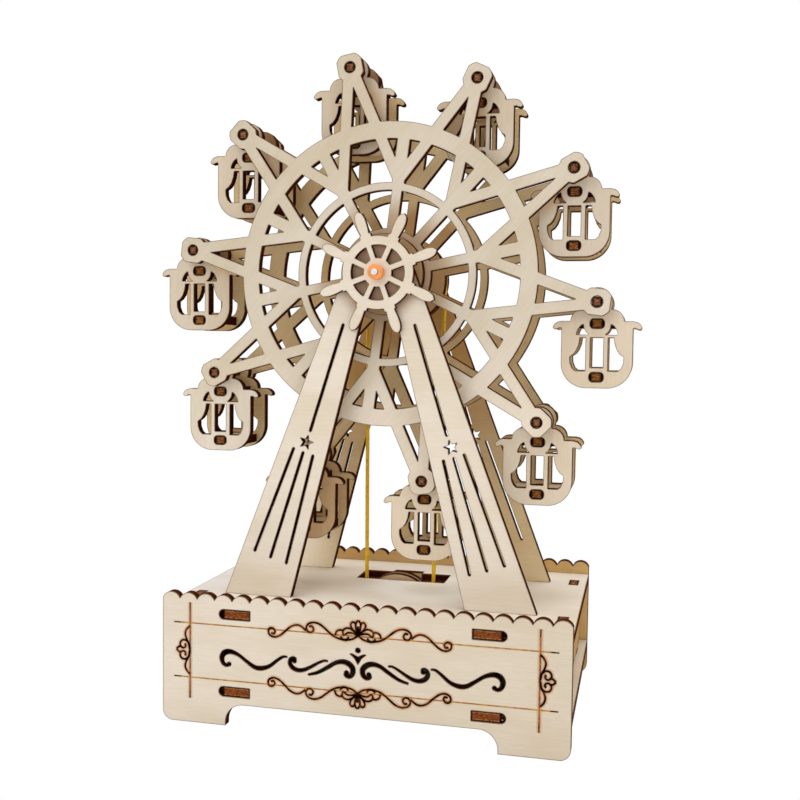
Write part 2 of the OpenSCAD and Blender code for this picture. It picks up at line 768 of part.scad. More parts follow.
module cabin_side(k, y) {
    color(birch) sheet(y, ply) translate(pin_place(k)) cabin_outline();
}

// A board between the side plates, with a tab into each
module cabin_board(k, w, drop) {
    p = pin_place(k) - [0, drop];
    inner = cabin_d - 2 * ply;
    translate([p[0], cabin_front_y - overall_d / 2, p[1] - ply / 2]) {
        translate([-w / 2, ply, 0]) cube([w, inner, ply]);
        translate([-cabin_tab_w / 2, tab_recess, 0]) cube([cabin_tab_w, cabin_d - 2 * tab_recess, ply]);
    }
}

module cabin_boards(k) {
    color(birch_dark) {
        cabin_board(k, roof_board_w, roof_board_drop);
        cabin_board(k, seat_board_w, seat_board_drop);
        sheet(front_wheel_y + tab_recess, back_wheel_y + ply - front_wheel_y - 2 * tab_recess)
            translate(pin_place(k)) stub_outline(0);
    }
}

front_panel();
back_panel();
end_wall(-wall_x - ply);  // left_end_wall
end_wall(wall_x);  // right_end_wall
deck();
floor_board();
bearing_plate();
front_frame();
back_frame();
drive_belt();
wheel_axle();
axle_sleeves();
wheel(front_wheel_y);  // front_wheel
wheel(back_wheel_y);  // back_wheel
hub_disc();
helm();
pulley_layer(0, wheel_belt_r + cheek_rise, axle);  // wheel_pulley_front_cheek
pulley_layer(1, wheel_core_r, axle);  // wheel_pulley_core
pulley_layer(2, wheel_belt_r + cheek_rise, axle);  // wheel_pulley_rear_cheek
crank_shaft();
crank_sleeves();
pulley_layer(0, crank_belt_r + cheek_rise, crank_axle);  // crank_pulley_front_cheek
pulley_layer(1, crank_core_r, crank_axle);  // crank_pulley_core
pulley_layer(2, crank_belt_r + cheek_rise, crank_axle);  // crank_pulley_rear_cheek
crank_arm();
crank_pin();
crank_knob();
for (k = [1:cabins]) {
    cabin_side(k, cabin_front_y);
    cabin_side(k, cabin_rear_y);
    cabin_boards(k);
}
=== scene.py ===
"""Looks of a hand cranked ferris wheel toy of laser-cut plywood.

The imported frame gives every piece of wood, steel and plastic. This script paints them, puts a
smooth round belt in place of the plain one, shows the ends of the boards' tabs, scorches the rims
of the sheets' faces, and burns the ornament into the front panel.
"""

import json
import math

import bmesh
import bpy
from mathutils import Matrix, Vector

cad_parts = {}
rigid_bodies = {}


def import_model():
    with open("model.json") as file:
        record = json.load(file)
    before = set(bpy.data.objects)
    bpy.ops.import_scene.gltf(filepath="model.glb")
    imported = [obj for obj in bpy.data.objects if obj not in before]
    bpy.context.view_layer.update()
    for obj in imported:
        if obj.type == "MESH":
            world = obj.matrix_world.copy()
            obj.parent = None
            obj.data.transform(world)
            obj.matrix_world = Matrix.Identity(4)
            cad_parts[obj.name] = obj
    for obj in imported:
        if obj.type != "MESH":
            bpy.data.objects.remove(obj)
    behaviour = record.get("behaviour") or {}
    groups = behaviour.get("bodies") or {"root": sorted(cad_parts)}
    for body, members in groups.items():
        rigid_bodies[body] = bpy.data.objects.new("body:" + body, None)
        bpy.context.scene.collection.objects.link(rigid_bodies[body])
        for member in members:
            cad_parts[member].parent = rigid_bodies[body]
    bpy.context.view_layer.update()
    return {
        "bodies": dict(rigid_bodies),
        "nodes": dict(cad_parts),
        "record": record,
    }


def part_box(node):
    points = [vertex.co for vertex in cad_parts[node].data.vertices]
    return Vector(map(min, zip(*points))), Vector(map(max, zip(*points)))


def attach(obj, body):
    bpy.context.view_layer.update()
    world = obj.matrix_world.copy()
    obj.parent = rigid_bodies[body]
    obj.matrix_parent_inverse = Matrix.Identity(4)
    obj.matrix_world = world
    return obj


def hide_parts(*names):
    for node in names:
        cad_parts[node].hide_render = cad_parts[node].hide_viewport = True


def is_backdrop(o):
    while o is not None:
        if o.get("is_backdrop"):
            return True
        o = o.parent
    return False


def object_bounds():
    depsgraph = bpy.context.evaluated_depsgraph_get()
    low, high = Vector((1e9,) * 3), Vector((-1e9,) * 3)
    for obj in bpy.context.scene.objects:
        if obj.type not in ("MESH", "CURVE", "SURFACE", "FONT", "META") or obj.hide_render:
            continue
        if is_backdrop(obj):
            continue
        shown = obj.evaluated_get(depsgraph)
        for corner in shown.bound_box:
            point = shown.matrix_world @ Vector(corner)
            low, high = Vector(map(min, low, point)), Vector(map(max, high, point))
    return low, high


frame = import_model()

MM = 0.001
PIXELS = 800

X, Y, Z = 0, 1, 2

# Places and sizes in the frame
panel_low, panel_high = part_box("front_panel")
PANEL_FACE_Y = panel_low.y
PLY = panel_high.y - panel_low.y
AXLE_Z = (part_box("helm")[0].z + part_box("helm")[1].z) / 2

# The cabins' tab ends and how far the boards lie below the pivot, in millimetres
CABINS = 10
CABIN_TAB_W, ROOF_DROP, SEAT_DROP = 3.6, 6.8, 24.1


class Term:
    """A shader socket that Python arithmetic works on."""

    def __init__(self, paint, socket):
        self.paint = paint
        self.socket = socket

    def _math(self, kind, *others):
        sockets = dict(enumerate((self, *others)))
        return self.paint.node("ShaderNodeMath", {"operation": kind}, sockets)

    def __add__(self, other):
        return self._math("ADD", other)

    def __radd__(self, other):
        return self._math("ADD", other)

    def __sub__(self, other):
        return self._math("SUBTRACT", other)

    def __rsub__(self, other):
        return self.paint.number(other)._math("SUBTRACT", self)

    def __mul__(self, other):
        return self._math("MULTIPLY", other)

    def __rmul__(self, other):
        return self._math("MULTIPLY", other)

    def __truediv__(self, other):
        return self._math("DIVIDE", other)

    def least(self, other):
        return self._math("MINIMUM", other)

    def size(self):
        return self._math("ABSOLUTE")

    def part(self):
        """What is left after the whole number."""
        return self._math("FRACT")

    def ramp(self, low, high):
        """0 below low, 1 above high, and smooth between."""
        sockets = {0: self, 1: low, 2: high, 3: 0.0, 4: 1.0}
        return self.paint.node(
            "ShaderNodeMapRange", {"interpolation_type": "SMOOTHSTEP"}, sockets)


class Paint:
    """One material and the nodes in it."""

    def __init__(self, name):
        self.material = bpy.data.materials.new(name)
        self.material.use_nodes = True
        self.tree = self.material.node_tree
        self.shader = self.tree.nodes["Principled BSDF"]

    def node(self, kind, settings=None, sockets=None, out=0):
        made = self.tree.nodes.new(kind)
        for key, value in (settings or {}).items():
            setattr(made, key, value)
        for key, value in (sockets or {}).items():
            self.feed(made.inputs[key], value)
        return Term(self, made.outputs[out])

    def feed(self, target, value):
        if isinstance(value, Term):
            self.tree.links.new(value.socket, target)
        elif isinstance(value, tuple) and target.type == "RGBA":
            target.default_value = rgba(value)
        else:
            target.default_value = value

    def number(self, value):
        made = self.tree.nodes.new("ShaderNodeValue")
        made.outputs[0].default_value = value
        return Term(self, made.outputs[0])

    def place(self):
        """The point on the piece, in metres of the row frame at rest."""
        return self.node("ShaderNodeTexCoord", out=3)

    def facing(self):
        """The way that the surface faces, in the piece's own axes."""
        return self.node("ShaderNodeTexCoord", out=1)

    def axes(self, vector):
        return [self.node("ShaderNodeSeparateXYZ", sockets={0: vector}, out=i) for i in range(3)]

    def stretched(self, vector, scale, turn=(0, 0, 0)):
        return self.node("ShaderNodeMapping", sockets={
            "Vector": vector, "Rotation": turn, "Scale": scale})

    def noise(self, vector, scale, detail=3.0, roughness=0.5):
        return self.node("ShaderNodeTexNoise", sockets={
            "Vector": vector, "Scale": scale, "Detail": detail, "Roughness": roughness})

    def mix(self, amount, first, second):
        return self.node("ShaderNodeMix", {"data_type": "RGBA"}, {
            0: amount, 6: first, 7: second}, out=2)

    def tinted(self, amount, colour, ratio):
        """The colour with its red, green and blue light scaled."""
        return self.node("ShaderNodeMix", {"data_type": "RGBA", "blend_type": "MULTIPLY"}, {
            0: amount, 6: colour, 7: [*ratio, 1.0]}, out=2)

    def bump(self, height, strength, distance):
        return self.node("ShaderNodeBump", sockets={
            "Height": height, "Strength": strength, "Distance": distance})

    def finish(self, **sockets):
        for key, value in sockets.items():
            self.feed(self.shader.inputs[key.replace("_", " ")], value)
        return self.material


def linear(level):
    """A display level from 0 to 1 as light."""
    return level / 12.92 if level <= 0.04045 else ((level + 0.055) / 1.055) ** 2.4


def rgba(colour):
    """A written colour as Blender's linear one."""
    return (*[linear(c) for c in colour[:3]], 1.0)


def shade(code):
    """A colour written as RRGGBB."""
    return tuple(int(code[i:i + 2], 16) / 255 for i in (0, 2, 4))


# Colours of the birch plywood
FACE = shade("E3DACE")
FACE_WARM = shade("D4C6B1")
FACE_FLECK = shade("B79C7A")
# The birch as painted in shade, for sheets that lie behind others
SHADED = shade("E2CBA2")
SHADED_WARM = shade("CFAF7E")
BURNT = shade("2C0F08")
BURNT_BROWN = shade("5E2E1A")
VENEER = shade("8A5E38")
SCORCH = shade("5A2E16")
# Painted shade of the helm on the front frame's head, round the axle
HELM_SHADOW = shade("AA866A")
TAB_CORE = shade("8E5026")
TAB_PALE = shade("B98A58")
TAB_GOLD = shade("9A6632")
TAB_STRAW = shade("DCB070")
PIVOT_CORE = shade("9C7052")
PIVOT_PALE = shade("C49E7C")
TAB_RIM = shade("241008")
# Painted shade on the tops of the cabins' rear sides
BACK_SIDE_TOP_SHADE = shade("7A5434")
# The roof boards and pivot bars: partly their burnt cut edges, partly painted shade
ROOF_BROWN = shade("86603C")

# How fast the grain varies along the fibres and across them, for its fibres and its clouds
FIBRES = (18, 400, 400)
CLOUDS = (22, 60, 60)

# How fast a cut edge's colour and relief vary
STREAKS = (1600, 1600, 1600)
SCORCH_SCALE = 900.0

# Facings between which a cut edge goes over into a face, and the back into the front
EDGE_TO_FACE = 0.55, 0.75
BACK_TO_FRONT = 0.0, 0.5

# How far a colour goes over into a fade of painted light or shade, the backward faces' and the
# roof's
FADE_SHARE, OUTER_SHARE, ROOF_SHARE = 0.85, 0.7, 0.85


def grain(paint, along, face, warm):
    """The colour of a plywood face whose grain runs along x or y, or in a direction in degrees."""
    place = paint.place()
    scales = FIBRES, CLOUDS
    if along == "y":
        scales = [(across, main, other) for main, across, other in scales]
    elif along != "x":
        place = paint.stretched(place, (1, 1, 1), (0, math.radians(along), 0))
    fibres, clouds = [paint.stretched(place, scale) for scale in scales]
    fine = paint.noise(fibres, 4.0, 4.0, 0.6)
    broad = paint.noise(clouds, 1.0, 3.0, 0.5)
    fleck = paint.noise(fibres, 11.0, 2.0, 0.5).ramp(0.66, 0.78)
    hair = paint.noise(fibres, 16.0, 2.0, 0.6).ramp(0.35, 0.65)
    colour = paint.mix(broad.ramp(0.35, 0.7) * 0.65 + fine.ramp(0.35, 0.75) * 0.3, face, warm)
    colour = paint.mix(hair * 0.28, colour, warm)
    colour = paint.mix(fleck * 0.22, colour, FACE_FLECK)
    return colour, fine


def part_way(spots, axis, start, end):
    """0 before the start along an axis, 1 beyond the end."""
    return ((spots[axis] - start) / (end - start)).ramp(0.0, 1.0)


def plywood(name, normal_axis, along, face=FACE, warm=FACE_WARM, layers_from=None,
            burnt=BURNT, tab=BURNT_BROWN, light_and_shade_patch=None, light_and_shade_fades=(), light_and_shade_tints=(), outer=None,
            roof=None):
    """Plywood whose cut edges are burnt.

    normal_axis is the axis that the sheet's faces look along, and layers_from the place of one
    face along it, for sheets whose edges show their layers. The round patch is painted shade or
    painted light on the front face, or on the top of a sheet that lies flat: the two places of its
    middle, its reach, the share of its square that is full, its strength and its colour. Each fade
    on that face is painted light or painted shade: an axis, the two places along it where the
    fade starts and is full, and its colour. A tint is painted light or shade too, the same with a
    ratio for red, green and blue. outer is the colour of the faces that look backwards, and roof a
    height and the colour above it.
    """
    paint = Paint(name)
    ways = paint.axes(paint.facing())
    flat = ways[normal_axis].size().ramp(*EDGE_TO_FACE)
    colour, fine = grain(paint, along, face, warm)
    spots = paint.axes(paint.place())
    if roof is not None:
        height, roof_colour = roof
        above = ((spots[Z] - height) / MM).ramp(0.0, 0.5)
        colour = paint.mix(above * ROOF_SHARE, colour, roof_colour)
    if outer is not None:
        behind = ways[normal_axis].ramp(*BACK_TO_FRONT)
        colour = paint.mix(behind * OUTER_SHARE, colour, outer)
    ahead = (ways[Z] if normal_axis == Z else 0 - ways[normal_axis]).ramp(*BACK_TO_FRONT)
    # Fades of painted light and painted shade on the front face
    for axis, start, end, tone in light_and_shade_fades:
        share = part_way(spots, axis, start, end)
        colour = paint.mix(share * ahead * FADE_SHARE, colour, tone)
    # Tints of painted light and painted shade on the front face
    for axis, start, end, ratio in light_and_shade_tints:
        colour = paint.tinted(part_way(spots, axis, start, end) * ahead, colour, ratio)
    # A round patch of painted shade or painted light
    if light_and_shade_patch:
        *middle, reach, full, strength, painted_tone = light_and_shade_patch
        flat_axes = [axis for axis in (X, Y, Z) if axis != normal_axis]
        first, second = [(spots[axis] - place) / reach for axis, place in zip(flat_axes, middle)]
        near = 1 - (first * first + second * second).ramp(full, 1.0)
        colour = paint.mix(near * ahead * strength, colour, painted_tone)
    scorch = paint.noise(paint.place(), SCORCH_SCALE, 3.0, 0.6)
    streak = paint.noise(paint.stretched(paint.place(), STREAKS), 1.0, 2.0, 0.5)
    edge = paint.mix(streak.ramp(0.35, 0.7) * 0.8, burnt, tab)
    if layers_from is not None:
        depth = ((spots[normal_axis] - layers_from) / PLY).part()
        skin = (depth - 0.5).size().ramp(0.33, 0.37)
        edge = paint.mix(skin * 0.7, edge, VENEER)
    colour = paint.mix(flat, edge, colour)
    relief = paint.bump(fine * flat + scorch * (1 - flat), 0.14, 0.0003)
    return paint.finish(Base_Color=colour, Roughness=0.62 + 0.2 * (1 - flat), Normal=relief,
                        Specular_IOR_Level=0.0)


def turned_wood(name, along, face, warm):
    """Wood that was turned or sanded, without burnt edges."""
    paint = Paint(name)
    colour, fine = grain(paint, along, face, warm)
    return paint.finish(Base_Color=colour, Roughness=0.5, Normal=paint.bump(fine, 0.1, 0.0003),
                        Specular_IOR_Level=0.2)


def plain(name, colour, roughness, metallic=0.0, grainy=0.04, coat=0.0):
    """A smooth finish with a slight unevenness in its colour and gloss."""
    paint = Paint(name)
    mottle = paint.noise(paint.place(), 700.0, 3.0, 0.5)
    darker = tuple(c * (1 - 3 * grainy) for c in colour)
    tint = paint.mix(mottle.ramp(0.4, 0.7), colour, darker)
    return paint.finish(Base_Color=tint, Roughness=roughness + mottle * grainy,
                        Metallic=metallic, Coat_Weight=coat)


paints = {
    # The front panel: painted shade towards its right end
    "panel": plywood("panel_birch", Y, "x", shade("DFD6CA"), shade("D1C3AE"),
                     layers_from=PANEL_FACE_Y,
                     light_and_shade_tints=((X, 22 * MM, 66 * MM, (0.915, 0.89, 0.845)),)),
    # The front frame: the helm's shadow is painted round the axle
    "frame": plywood("frame_birch", Y, "x", shade("E5DCD1"), shade("D7CAB5"),
                     light_and_shade_patch=(0, AXLE_Z, 17 * MM, 0.35, 0.9, HELM_SHADOW)),
    # The front wheel: painted shade round the hub, painted light towards the bottom, and painted
    # shade towards the top and the left. They turn with the wheel.
    "wheel": plywood("wheel_birch", Y, 52, shade("D9D0C3"), shade("CABDA7"),
                     layers_from=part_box("front_wheel")[0].y,
                     light_and_shade_patch=(0, AXLE_Z, 27 * MM, 0.42, 0.7, shade("B4926C")),
                     light_and_shade_tints=((Z, AXLE_Z - 10 * MM, AXLE_Z - 55 * MM, (1.17, 1.16, 1.17)),
                            (Z, AXLE_Z + 18 * MM, AXLE_Z + 56 * MM, (0.93, 0.91, 0.88)),
                            (X, -24 * MM, -56 * MM, (0.925, 0.915, 0.885)))),
    "helm": plywood("helm_birch", Y, "x"),
    # The hub disc is painted darker brown, as painted shade between the frame and the wheel
    "disc": plywood("disc_birch", Y, "x", shade("C6A67C"), shade("B08C60")),
    # The deck: a patch of painted light in front of the opening, painted shade towards the right,
    # and cooler painted light towards the left
    "deck": plywood("deck_birch", Z, "x", shade("EAE1D5"), shade("DCD0BE"),
                    layers_from=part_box("deck")[0].z, tab=shade("63290F"),
                    light_and_shade_patch=(14 * MM, -4 * MM, 26 * MM, 0.15, 0.8, shade("FFFCF4")),
                    light_and_shade_tints=((X, 36 * MM, 66 * MM, (0.93, 0.93, 0.91)),
                           (X, -40 * MM, -66 * MM, (0.97, 1.03, 1.16)))),
    # The end walls are painted darker tan than the birch, as painted shade
    "end": plywood("end_birch", X, "y", shade("CAAE82"), shade("B89664")),
    # The sheets at the back are painted in shade on their forward faces, and plain birch on their
    # backward faces
    "rear_sheet": plywood("rear_birch", Y, "x", SHADED, SHADED_WARM, outer=FACE),
    # The back frame: painted shade on its forward face, with painted light towards the left foot
    # and darker painted shade towards the top
    "rear_frame": plywood("rear_frame_birch", Y, "x", shade("EEDBB6"), shade("DEC498"),
                          light_and_shade_fades=((X, -20 * MM, -42 * MM, shade("FFF6E4")),
                                 (Z, 70 * MM, 125 * MM, shade("CBA066"))), outer=FACE),
    # The back panel's inner face is painted in shade, its outer face plain birch
    "rear_panel": plywood("rear_panel_birch", Y, "x", shade("DABA84"), shade("C8A064"),
                          outer=FACE),
    # The back wheel is painted in shade, with darker painted shade round the hub
    "rear_wheel": plywood("rear_wheel_birch", Y, 52, SHADED, SHADED_WARM,
                          light_and_shade_patch=(0, AXLE_Z, 28 * MM, 0.6, 0.5, shade("A66A2A")), outer=FACE),
    # The upper pulley is painted darker than the crank's, as painted shade behind the wheel
    "pulley": plywood("pulley_birch", Y, "x", shade("C09A6C"), shade("9A7048")),
    "crank_pulley": plywood("crank_pulley_birch", Y, "x", shade("DCC09C"), shade("BE9A72")),
    "steel": plain("steel_rod", (0.74, 0.75, 0.77), 0.24, metallic=1.0),
    "orange": plain("orange_plastic", shade("F6933A"), 0.34, coat=0.2),
    "belt": plain("yellow_rubber", shade("FFCE06"), 0.45),
    "knob": turned_wood("knob_birch", "y", SHADED, SHADED_WARM),
}

# The cabins' front sides are painted lighter or darker for the light and shade on each: painted
# shade
# # on those in the wheel's upper half, darker painted shade behind the left leg, and painted light
# on
# # the one at the bottom right
SHADE_DARKENED, MIDDLING = (shade("D4C8B8"), shade("C7B59C")), (shade("DED2C1"), shade("D1BFA5"))
cabin_shade_levels = (SHADE_DARKENED, SHADE_DARKENED, SHADE_DARKENED, SHADE_DARKENED, (FACE, FACE_WARM), (shade("D8BC96"), shade("C8A47A")),
                (shade("EBDECC"), shade("DDCBAF")), MIDDLING, MIDDLING, SHADE_DARKENED)
PALE_EDGED = 9
PALE_EDGES = {"burnt": shade("6A4326"), "tab": shade("A87C4C")}
ARM_SHADE_AT = 12 * MM
ARM_SHADE = 9 * MM, 0.3, 0.55, shade("DAB284")
TOP_SHADE_START, TOP_SHADE_FULL = -4 * MM, -1 * MM

# Each seat board is painted lighter than the sheets, as painted light where it lies in shade. Each
# # roof board and pivot bar is darker than the seat board: partly the burnt edges on the bar's top,
# # partly painted shade. Each rear side is painted in shade on its forward face. In the wheel's
# upper
# # half, the front sides have painted warm shade behind the arms, and the rear sides darker painted
# # shade at the top.
for cabin in range(1, CABINS + 1):
    low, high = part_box(f"cabin_{cabin}_boards")
    pivot = Vector(((low.x + high.x) / 2, 0, low.z + PLY / 2 + SEAT_DROP * MM))
    inward = (Vector((0, 0, AXLE_Z)) - pivot).normalized()
    spot = pivot + inward * ARM_SHADE_AT
    upper = pivot.z > AXLE_Z
    edges = PALE_EDGES if cabin == PALE_EDGED else {}
    paints[f"front_{cabin}"] = plywood(
        f"cabin_{cabin}_birch", Y, 90, *cabin_shade_levels[cabin - 1], **edges,
        light_and_shade_patch=(spot.x, spot.z, *ARM_SHADE) if upper else None)
    top_shade = (Z, pivot.z + TOP_SHADE_START, pivot.z + TOP_SHADE_FULL, BACK_SIDE_TOP_SHADE)
    paints[f"rear_{cabin}"] = plywood(
        f"cabin_{cabin}_rear_birch", Y, "x", SHADED, SHADED_WARM, outer=FACE,
        light_and_shade_fades=(top_shade,) if upper else ())
    # Seat boards painted lighter as painted light; roof and pivot bar darker, partly burnt edge,
    # partly painted shade
    paints[f"boards_{cabin}"] = plywood(
        f"board_{cabin}_birch", Z, "y", shade("FAEAD0"), shade("ECD6B0"),
        roof=((low.z + high.z) / 2, ROOF_BROWN))

looks = {
    "front_panel": "panel", "back_panel": "rear_panel", "left_end_wall": "end",
    "right_end_wall": "end", "deck": "deck", "floor_board": "deck", "bearing_plate": "rear_sheet",
    "front_frame": "frame", "back_frame": "rear_frame", "drive_belt": "belt",
    "wheel_axle": "steel", "axle_sleeves": "orange", "front_wheel": "wheel",
    "back_wheel": "rear_wheel", "hub_disc": "disc", "helm": "helm", "crank_shaft": "steel",
    "crank_sleeves": "orange", "crank_arm": "rear_sheet", "crank_pin": "steel",
    "crank_knob": "knob",
}


def look_of(node):
    """The key in paints of a node's paint."""
    if node in looks:
        return looks[node]
    if "pulley" in node:
        return "crank_pulley" if "crank" in node else "pulley"
    _, number, part, *_ = node.split("_")
    return f"{part}_{number}"


# The sheets, whose rims are scorched
sheets = [node for node in frame["nodes"] if not node.endswith("_boards")
          and look_of(node) not in ("steel", "orange", "belt", "knob")]

for node, piece in frame["nodes"].items():
    piece.data.materials.clear()
    piece.data.materials.append(paints[look_of(node)])

# The camera, at the place and angle that the photograph was taken from
EYE = Vector((83.9, -352.4, 123.3)) * MM
EYE_YAW, EYE_PITCH, EYE_ROLL = 0.23447, 0.05461, 0.01276
FOCAL_PIXELS = 1014.3
SENSOR = 36.0
CLIP_NEAR, CLIP_FAR = 0.01, 20


def camera():
    lens = bpy.data.cameras.new("camera")
    lens.sensor_width = SENSOR
    lens.lens = FOCAL_PIXELS / PIXELS * SENSOR
    lens.clip_start = CLIP_NEAR
    lens.clip_end = CLIP_FAR
    eye = bpy.data.objects.new("camera", lens)
    bpy.context.scene.collection.objects.link(eye)
    ahead = Vector((-math.sin(EYE_YAW) * math.cos(EYE_PITCH),
                    math.cos(EYE_YAW) * math.cos(EYE_PITCH), -math.sin(EYE_PITCH)))
    level = Vector((math.cos(EYE_YAW), math.sin(EYE_YAW), 0))
    up = level.cross(ahead)
    right = math.cos(EYE_ROLL) * level + math.sin(EYE_ROLL) * up
    top = math.cos(EYE_ROLL) * up - math.sin(EYE_ROLL) * level
    turned = Matrix((right, top, -ahead)).transposed().to_4x4()
    eye.matrix_world = Matrix.Translation(EYE) @ turned
    bpy.context.scene.camera = eye


# Each lamp's name, place, size, power and colour
LAMPS = (
    ("key", (-0.6, -1.3, 0.85), 1.1, 4.5, (0.97, 0.99, 1.0)),
    ("front", (-0.2, -1.5, 0.3), 1.3, 3.2, (0.98, 0.99, 1.0)),
    ("top", (0.0, -0.08, 1.5), 1.2, 12.5, (0.98, 0.99, 1.0)),
    ("back", (0.3, 1.4, 0.9), 1.2, 6, (1.0, 1.0, 1.0)),
)
LAMP_AIM = Vector((0, 0, 0.1))
FILL_COLOUR, FILL_POWER = (1.0, 0.94, 0.86, 1), 0.64
FLOOR_SIZE, FLOOR_Z = 6, -0.0002


def lamp(name, place, size, power, colour):
    light = bpy.data.lights.new(name, "AREA")
    light.shape = "DISK"
    light.size = size
    light.energy = power
    light.color = colour
    holder = bpy.data.objects.new(name, light)
    bpy.context.scene.collection.objects.link(holder)
    holder.location = place
    holder.rotation_mode = "QUATERNION"
    holder.rotation_quaternion = (LAMP_AIM - Vector(place)).to_track_quat("-Z", "Y")


def white_when_seen(tree, lit, white, output):
    """The camera and mirrors see the shader white, and lit does the rest."""
    paths = tree.nodes.new("ShaderNodeLightPath")
    seen = paths.outputs["Is Camera Ray"]
    for ray in ("Is Glossy Ray", "Is Transmission Ray"):
        higher = tree.nodes.new("ShaderNodeMath")
        higher.operation = "MAXIMUM"
        tree.links.new(seen, higher.inputs[0])
        tree.links.new(paths.outputs[ray], higher.inputs[1])
        seen = higher.outputs[0]
    blend = tree.nodes.new("ShaderNodeMixShader")
    for socket, target in zip((seen, lit.outputs[0], white.outputs[0]), blend.inputs):
        tree.links.new(socket, target)
    tree.links.new(blend.outputs[0], output.inputs[0])


def stage_material(name):
    """Pale, and plain white to the camera and in mirrors."""
    paint = Paint(name)
    white = paint.tree.nodes.new("ShaderNodeEmission")
    white_when_seen(paint.tree, paint.shader, white, paint.tree.nodes["Material Output"])
    return paint.finish(Base_Color=(0.93, 0.93, 0.92), Roughness=0.9)


def studio():
    """The floor, the lamps and the light from all round."""
    world = bpy.data.worlds.new("studio")
    bpy.context.scene.world = world
    world.use_nodes = True
    nodes = world.node_tree.nodes
    white = nodes.new("ShaderNodeBackground")
    white.inputs[0].default_value = (1, 1, 1, 1)
    fill = nodes["Background"]
    fill.inputs[0].default_value = FILL_COLOUR
    fill.inputs[1].default_value = FILL_POWER
    white_when_seen(world.node_tree, fill, white, nodes["World Output"])

    bpy.ops.mesh.primitive_plane_add(size=FLOOR_SIZE, location=(0, 0, FLOOR_Z))
    floor = bpy.context.object
    floor.name = "floor"
    floor.data.materials.append(stage_material("floor_white"))
    floor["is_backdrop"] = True

    for settings in LAMPS:
        lamp(*settings)
    bpy.context.scene.view_settings.view_transform = "Standard"


def new_piece(name, verts, faces):
    """A piece from its mesh's corners and faces."""
    mesh = bpy.data.meshes.new(name)
    mesh.from_pydata(verts, [], faces)
    piece = bpy.data.objects.new(name, mesh)
    bpy.context.scene.collection.objects.link(piece)
    return piece


def cubic(a, b, c, d, t):
    """Catmull-Rom point between b and c."""
    return (2 * b + (c - a) * t + (2 * a - 5 * b + 4 * c - d) * t ** 2
            + (3 * b - a - 3 * c + d) * t ** 3) / 2


def curve(points, steps=6):
    """A smooth line through points."""
    p = [Vector(q) for q in points]
    last = len(p) - 1
    line = [cubic(p[max(i - 1, 0)], p[i], p[i + 1], p[min(i + 2, last)], j / steps)
            for i in range(last) for j in range(steps)]
    return [*line, p[last]]


# The drive belt, in millimetres
BELT_R = 0.7
BELT_TOP_Z, BELT_LOW_Z, BELT_LOW_X = 146.4, 26.4, -1.2
WHEEL_BELT_R, CRANK_BELT_R = 14.3, 12.4
BELT_BENDS = 40
BELT_SIDES = 20


def drive_belt():
    """The round belt as one smooth loop round both pulleys."""
    low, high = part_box("drive_belt")
    span = math.hypot(BELT_LOW_X, BELT_TOP_Z - BELT_LOW_Z)
    tilt = math.asin((WHEEL_BELT_R - CRANK_BELT_R) / span)
    lean = Matrix.Rotation(math.atan2(-BELT_LOW_X, BELT_TOP_Z - BELT_LOW_Z), 4, "Y")
    axle = Vector((0, (low.y + high.y) / 2, BELT_TOP_Z * MM))
    rings = []
    for radius, height, first, sweep in (
            (WHEEL_BELT_R, 0, -tilt, math.pi + 2 * tilt),
            (CRANK_BELT_R, -span, math.pi + tilt, math.pi - 2 * tilt)):
        rings += [(radius, height, first + sweep * i / BELT_BENDS) for i in range(BELT_BENDS + 1)]
    verts, faces = [], []
    for radius, height, angle in rings:
        for j in range(BELT_SIDES):
            around = 2 * math.pi * j / BELT_SIDES
            out = radius + BELT_R * math.cos(around)
            spot = Vector((out * math.cos(angle), BELT_R * math.sin(around),
                           height + out * math.sin(angle)))
            verts.append(lean @ spot * MM + axle)
    for i in range(len(rings)):
        here, following = i * BELT_SIDES, (i + 1) % len(rings) * BELT_SIDES
        for j in range(BELT_SIDES):
            side = (j + 1) % BELT_SIDES
            faces.append((here + j, here + side, following + side, following + j))
    belt = new_piece("round_belt", verts, faces)
    belt.data.shade_smooth()
    belt.data.materials.append(paints["belt"])
    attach(belt, "base")
    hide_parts("drive_belt")


# The burnt lines on the front panel. Each layer lies one lift above the one before.
BURN_LIFT = 0.02 * MM
LINE_W = 0.7 * MM
POST_W = 0.46 * MM
RULE_W = 0.55 * MM
HALO_W = 2.2 * MM


def burn_material(name, core, rim, strength, soft=0.4):
    """A burnt line: dark along the middle, fading into the wood at its sides."""
    paint = Paint(name)
    across = paint.node("ShaderNodeAttribute", {"attribute_name": "across"}, out=2)
    worn = paint.noise(paint.place(), 500.0, 3.0, 0.6)
    colour = paint.mix(worn.ramp(0.44, 0.62), core, rim)
    cover = (1 - across.size()).ramp(0.0, soft) * strength
    return paint.finish(Base_Color=colour, Roughness=0.8, Alpha=cover, Specular_IOR_Level=0.0)


def burnt_lines(name, lines, width, material, lift):
    """Flat ribbons on the front panel's face. A line is a list of (x, z) in millimetres."""
    verts, faces, across = [], [], []
    for line in lines:
        start = len(verts)
        for i, here in enumerate(line):
            ahead = line[min(i + 1, len(line) - 1)] - line[max(i - 1, 0)]
            side = Vector((-ahead.y, ahead.x)).normalized() * (width / 2)
            for share in (-1, 0, 1):
                spot = here * MM + side * share
                verts.append((spot.x, PANEL_FACE_Y - lift, spot.y))
                across.append(share)
        for i in range(len(line) - 1):
            for k in (0, 1):
                a = start + 3 * i + k
                faces.append((a, a + 3, a + 4, a + 1))
    piece = new_piece(name, verts, faces)
    piece.data.attributes.new("across", "FLOAT", "POINT").data.foreach_set("value", across)
    piece.data.materials.append(material)
    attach(piece, "base")


